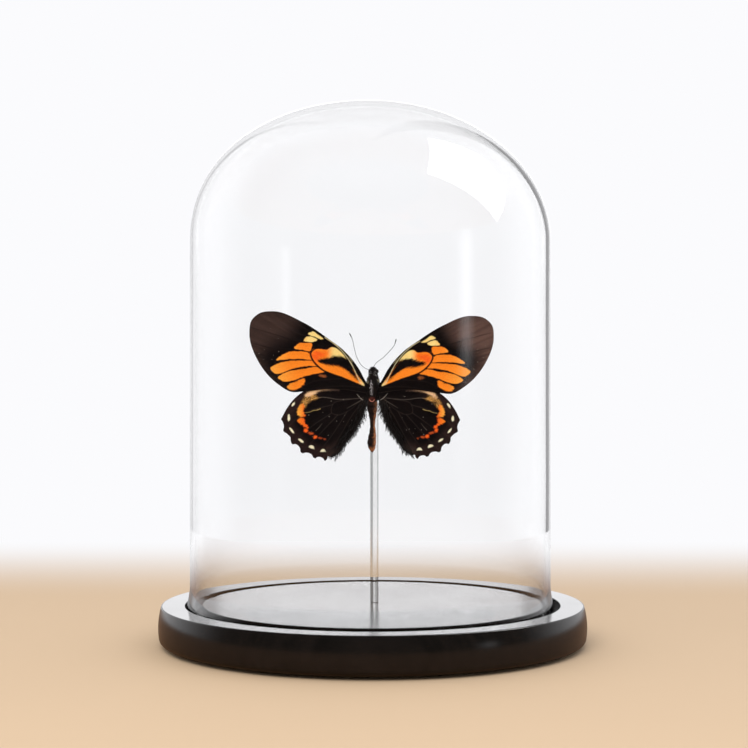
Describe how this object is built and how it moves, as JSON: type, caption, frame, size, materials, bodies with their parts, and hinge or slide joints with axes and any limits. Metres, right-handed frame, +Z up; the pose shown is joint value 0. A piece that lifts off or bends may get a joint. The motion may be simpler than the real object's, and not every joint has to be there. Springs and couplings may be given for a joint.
{
  "type": "bell jar dome",
  "caption": "Clear glass bell jar in the groove of a round lacquered base, over a spread butterfly on a clear rod.",
  "frame": {"origin": "centre of the base's footprint, at the level of the table that the foot pads stand on", "axes": "+Z up along the base's axis; -Y towards the viewer, whom the butterfly's back faces; +X to the viewer's right"},
  "size_m": [0.21, 0.21, 0.2657],
  "materials": {
    "black_lacquered_wood": "satin black lacquer",
    "black_felt": "felt",
    "clear_glass": "clear, polished",
    "clear_acrylic": "clear, polished",
    "clear_glue": "clear, glossy",
    "wing_membrane": "scaled, black with orange and cream marks",
    "hairy_cuticle": "hairy",
    "bare_cuticle": "satin",
    "eye_facets": "glossy"
  },
  "bodies": {
    "stand": {"display_base": "black_lacquered_wood", "foot_pad_1": "black_felt", "foot_pad_2": "black_felt", "foot_pad_3": "black_felt", "foot_pad_4": "black_felt", "stand_rod": "clear_acrylic", "glue_bead": "clear_glue", "thorax": "hairy_cuticle", "head": "hairy_cuticle", "abdomen": "hairy_cuticle", "forewing_left": "wing_membrane", "hindwing_left": "wing_membrane", "forewing_right": "wing_membrane", "hindwing_right": "wing_membrane", "eye_left": "eye_facets", "palp_left": "hairy_cuticle", "antenna_left": "bare_cuticle", "eye_right": "eye_facets", "palp_right": "hairy_cuticle", "antenna_right": "bare_cuticle", "proboscis": "bare_cuticle", "foreleg_left": "bare_cuticle", "midleg_left": "bare_cuticle", "hindleg_left": "bare_cuticle", "foreleg_right": "bare_cuticle", "midleg_right": "bare_cuticle", "hindleg_right": "bare_cuticle"},
    "dome": {"glass_dome": "clear_glass"}
  },
  "joints": [
    {"name": "dome_lift", "type": "slide", "parent": "stand", "child": "dome", "axis": [0, 0, 1], "range_m": [0, 0.165]}
  ]
}
